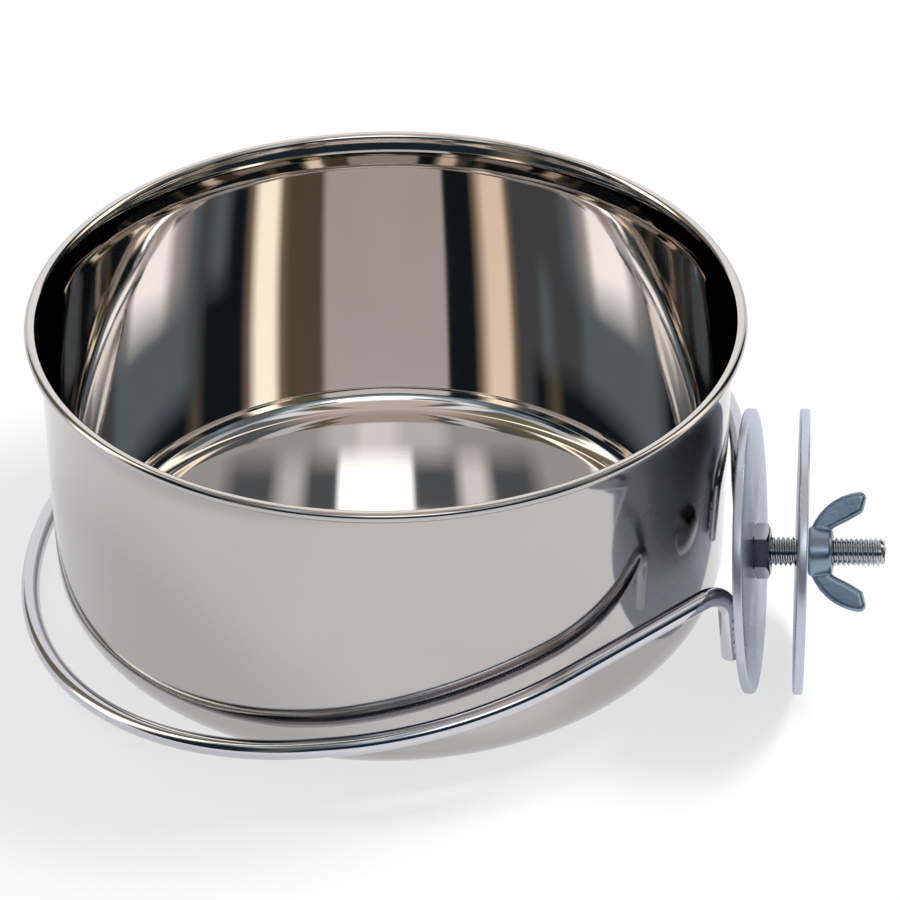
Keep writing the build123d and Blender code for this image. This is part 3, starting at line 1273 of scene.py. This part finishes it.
@dataclass(frozen=True)
class Panel:
    """One stop of a row of studio panels, at a bearing in degrees from the camera's line of sight."""

    bearing: float
    color: Tone


DARK = (0.015, 0.025, 0.035)
SMOKE = (0.14, 0.16, 0.18)
UMBER = (0.20, 0.18, 0.12)
TAN = (0.42, 0.35, 0.26)
SLATE = (0.24, 0.33, 0.40)
ROSE = (0.70, 0.58, 0.53)
GREY = (0.60, 0.61, 0.63)
PALE = (0.95, 0.97, 1.0)
WHITE = (1.0, 1.0, 1.0)
SILVER = (1.3, 1.3, 1.3)
HONEY = (2.0, 1.75, 1.45)
CREAM = (2.8, 2.8, 2.4)
LAMP_WHITE = (2.6, 2.75, 2.85)

LOW_ROW = (
    Panel(0.0, DARK), Panel(106.0, DARK), Panel(116.0, UMBER), Panel(124.0, DARK), Panel(212.0, DARK),
    Panel(222.0, UMBER), Panel(230.0, DARK), Panel(360.0, DARK),
)
WALL_ROW = (
    Panel(0.0, WHITE), Panel(38.0, WHITE), Panel(41.0, DARK), Panel(58.0, DARK), Panel(62.0, TAN),
    Panel(70.0, HONEY), Panel(82.0, HONEY), Panel(87.0, TAN), Panel(91.0, SMOKE), Panel(104.0, SMOKE),
    Panel(111.0, SLATE), Panel(119.0, SMOKE), Panel(135.0, SMOKE), Panel(145.0, SLATE), Panel(210.0, SLATE),
    Panel(223.0, SMOKE), Panel(231.0, DARK), Panel(257.0, DARK), Panel(263.0, TAN), Panel(270.0, CREAM),
    Panel(281.0, CREAM), Panel(287.0, TAN), Panel(293.0, UMBER), Panel(314.0, UMBER), Panel(319.0, WHITE),
    Panel(360.0, WHITE),
)
LAMP_ROW = (
    Panel(0.0, SMOKE), Panel(126.0, SMOKE), Panel(138.0, SLATE), Panel(145.0, GREY), Panel(151.0, PALE),
    Panel(158.0, LAMP_WHITE), Panel(187.0, LAMP_WHITE), Panel(198.0, PALE), Panel(207.0, GREY),
    Panel(215.0, SLATE), Panel(224.0, SMOKE), Panel(238.0, SLATE), Panel(250.0, DARK), Panel(360.0, SMOKE),
)
LOBE_ROW = (
    Panel(0.0, GREY), Panel(101.0, GREY), Panel(112.0, SMOKE), Panel(127.0, SMOKE), Panel(135.0, PALE),
    Panel(140.0, PALE), Panel(146.0, SMOKE), Panel(156.0, SMOKE), Panel(159.0, LAMP_WHITE),
    Panel(187.0, LAMP_WHITE), Panel(190.0, SMOKE), Panel(205.0, SMOKE), Panel(211.0, SILVER),
    Panel(217.0, SILVER), Panel(224.0, SMOKE), Panel(238.0, SMOKE), Panel(249.0, GREY), Panel(360.0, GREY),
)
SILVER_ROW = (
    Panel(0.0, GREY), Panel(146.0, GREY), Panel(155.0, PALE), Panel(163.0, PALE), Panel(168.0, SILVER),
    Panel(179.0, SILVER), Panel(186.0, PALE), Panel(200.0, PALE), Panel(208.0, GREY), Panel(360.0, GREY),
)
HIGH_ROW = (
    Panel(0.0, SMOKE), Panel(110.0, SMOKE), Panel(117.0, PALE), Panel(130.0, PALE), Panel(136.0, UMBER),
    Panel(146.0, UMBER), Panel(150.0, ROSE), Panel(205.0, ROSE), Panel(208.0, SMOKE), Panel(214.0, SMOKE),
    Panel(218.0, PALE), Panel(230.0, PALE), Panel(235.0, SMOKE), Panel(255.0, UMBER), Panel(360.0, UMBER),
)


@dataclass
class Studio:
    """White table, one soft lamp, walls of pale and dark panels and the camera of the photograph."""

    lens: float = 132.0
    sensor: float = 36.0
    eye: Vector = field(default_factory=lambda: Vector((103.95, -572.6, 433.7)) * MM)
    azimuth: float = math.radians(9.0)
    pitch: float = math.radians(34.53)
    roll: float = math.radians(-0.29)
    front_bearing: float = 176.0
    front_half: Point = (80.0, 72.0)
    wide_half: Point = (105.0, 97.0)
    low_edge: Point = (30.5, 27.5)
    lamp_edge: Point = (35.0, 38.8)
    lobe_edge: Point = (44.0, 44.6)
    silver_edge: Point = (47.6, 50.2)
    high_edge: Point = (53.0, 55.0)
    roof_edge: Point = (70.0, 82.0)
    fill_strength: float = 0.5
    table_size: float = 8.0
    table_drop: float = 0.05 * MM
    table_tone: Tone = (0.92, 0.92, 0.93)
    table_glow: float = 0.68
    lamp_place: Vector = field(default_factory=lambda: Vector((0.62, 0.34, 1.05)))
    lamp_target: Vector = field(default_factory=lambda: Vector((0.0, 0.0, 0.03)))
    lamp_size: float = 0.4
    lamp_power: float = 14.0

    def build(self) -> None:
        """Set the view, the table, the lamp and the camera."""
        bpy.context.scene.view_settings.view_transform = "Standard"
        self._world()
        self._table()
        self._lamp()
        self._camera()

    def _panels(self, tree: bpy.types.NodeTree, around: bpy.types.NodeSocket,
                panels: tuple[Panel, ...]) -> bpy.types.NodeSocket:
        """Add one row of panels.

        Args:
            tree: Node tree that gets the nodes.
            around: Bearing as a share of the full circle.
            panels: The panels in order, the first at 0 and the last at 360 degrees.

        Returns:
            The colour of the row.
        """
        row = tree.nodes.new("ShaderNodeValToRGB")
        stops = row.color_ramp.elements
        stops[0].position = 0.0
        stops[1].position = 1.0
        for panel in panels[1:-1]:
            stops.new(panel.bearing / CIRCLE)
        for stop, panel in zip(stops, panels):
            stop.color = (*panel.color, 1.0)
        tree.links.new(around, row.inputs["Fac"])
        return row.outputs["Color"]

    def _walls(self, tree: bpy.types.NodeTree) -> bpy.types.NodeSocket:
        """Panelled studio walls by bearing from the camera's line and by height.

        Args:
            tree: Node tree of the world.

        Returns:
            The colour in each direction.
        """
        ways = tree.nodes.new("ShaderNodeTexCoord")
        turned = tree.nodes.new("ShaderNodeMapping")
        turned.inputs["Rotation"].default_value = (0.0, 0.0, -self.azimuth)
        tree.links.new(ways.outputs["Generated"], turned.inputs["Vector"])
        split = tree.nodes.new("ShaderNodeSeparateXYZ")
        tree.links.new(turned.outputs["Vector"], split.inputs["Vector"])
        bearing = work_out(tree, "ARCTAN2", split.outputs["X"], split.outputs["Y"])
        around = work_out(tree, "FRACT", work_out(tree, "DIVIDE", bearing, math.tau))
        height = work_out(tree, "DEGREES", work_out(tree, "ARCSINE", split.outputs["Z"]))
        aside = work_out(tree, "SUBTRACT", work_out(tree, "MULTIPLY", around, CIRCLE), self.front_bearing)
        aside = work_out(tree, "ABSOLUTE", aside)
        front = spread(tree, aside, self.front_half)
        wide = spread(tree, aside, self.wide_half)
        rows = (
            (front, self.low_edge, LOW_ROW), (front, self.lamp_edge, LAMP_ROW),
            (wide, self.lobe_edge, LOBE_ROW), (wide, self.silver_edge, SILVER_ROW),
            (wide, self.high_edge, HIGH_ROW),
        )
        walls = self._panels(tree, around, WALL_ROW)
        for part, edge, row in rows:
            share = work_out(tree, "MULTIPLY", part, spread(tree, height, edge))
            walls = blend(tree, share, walls, self._panels(tree, around, row))
        return blend(tree, spread(tree, height, self.roof_edge), walls, ROSE)

    def _world(self) -> None:
        """White air for the camera, panelled walls for the metal and a soft fill for the rest."""
        world = bpy.data.worlds.new("studio_air")
        world.use_nodes = True
        tree = world.node_tree
        fill = tree.nodes["Background"]
        fill.inputs["Color"].default_value = (*PALE, 1.0)
        fill.inputs["Strength"].default_value = self.fill_strength
        walls = tree.nodes.new("ShaderNodeBackground")
        tree.links.new(self._walls(tree), walls.inputs["Color"])
        white = tree.nodes.new("ShaderNodeBackground")
        white.inputs["Color"].default_value = (*WHITE, 1.0)
        path = tree.nodes.new("ShaderNodeLightPath").outputs
        glossy = path["Is Glossy Ray"]
        air = mix_shaders(tree, glossy, fill.outputs["Background"], walls.outputs["Background"])
        straight = work_out(tree, "MAXIMUM", path["Is Camera Ray"], path["Is Transmission Ray"])
        air = mix_shaders(tree, straight, air, white.outputs["Background"])
        tree.links.new(air, tree.nodes["World Output"].inputs["Surface"])
        bpy.context.scene.world = world

    def _table(self) -> None:
        """White table that keeps the object's shadow."""
        Bench.clear()
        bpy.ops.mesh.primitive_plane_add(size=self.table_size, location=(0.0, 0.0, -self.table_drop))
        table = bpy.context.object
        table.name = "white_table"
        white = bpy.data.materials.new("white_table")
        white.use_nodes = True
        tree = white.node_tree
        tree.nodes.remove(tree.nodes["Principled BSDF"])
        matt = tree.nodes.new("ShaderNodeBsdfDiffuse")
        matt.inputs["Color"].default_value = (*self.table_tone, 1.0)
        glow = tree.nodes.new("ShaderNodeEmission")
        glow.inputs["Strength"].default_value = 1.0
        path = tree.nodes.new("ShaderNodeLightPath").outputs
        seen = work_out(tree, "MAXIMUM", path["Is Camera Ray"], path["Is Transmission Ray"])
        seen = work_out(tree, "MAXIMUM", seen, path["Is Glossy Ray"])
        share = work_out(tree, "MULTIPLY", seen, self.table_glow)
        surface = mix_shaders(tree, share, matt.outputs["BSDF"], glow.outputs["Emission"])
        tree.links.new(surface, tree.nodes["Material Output"].inputs["Surface"])
        table.data.materials.append(white)

    def _lamp(self) -> None:
        """One large soft lamp above the table, a little to the right and rear, aimed at the cup."""
        lamp = bpy.data.lights.new("key_lamp", "AREA")
        lamp.size = self.lamp_size
        lamp.energy = self.lamp_power
        holder = bpy.data.objects.new("key_lamp", lamp)
        bpy.context.scene.collection.objects.link(holder)
        holder.location = self.lamp_place
        aim = self.lamp_target - self.lamp_place
        holder.rotation_euler = aim.to_track_quat("-Z", "Y").to_euler()
        holder.visible_glossy = False

    def _camera(self) -> None:
        """Camera at the photograph's viewing angle."""
        lens = bpy.data.cameras.new("photo_camera")
        lens.lens = self.lens
        lens.sensor_width = self.sensor
        camera = bpy.data.objects.new("photo_camera", lens)
        bpy.context.scene.collection.objects.link(camera)
        turn = Matrix.Rotation(self.azimuth, 4, "Z") @ Matrix.Rotation(QUARTER - self.pitch, 4, "X")
        turn = turn @ Matrix.Rotation(self.roll, 4, "Z")
        camera.matrix_world = Matrix.Translation(self.eye) @ turn
        bpy.context.scene.camera = camera


def main() -> None:
    """Build the pieces in order."""
    Cup().build()
    seat = ClampFrame()
    HolderRing(seat).build()
    Clamp(seat).build()
    Studio().build()


if __name__ == "__main__":
    main()
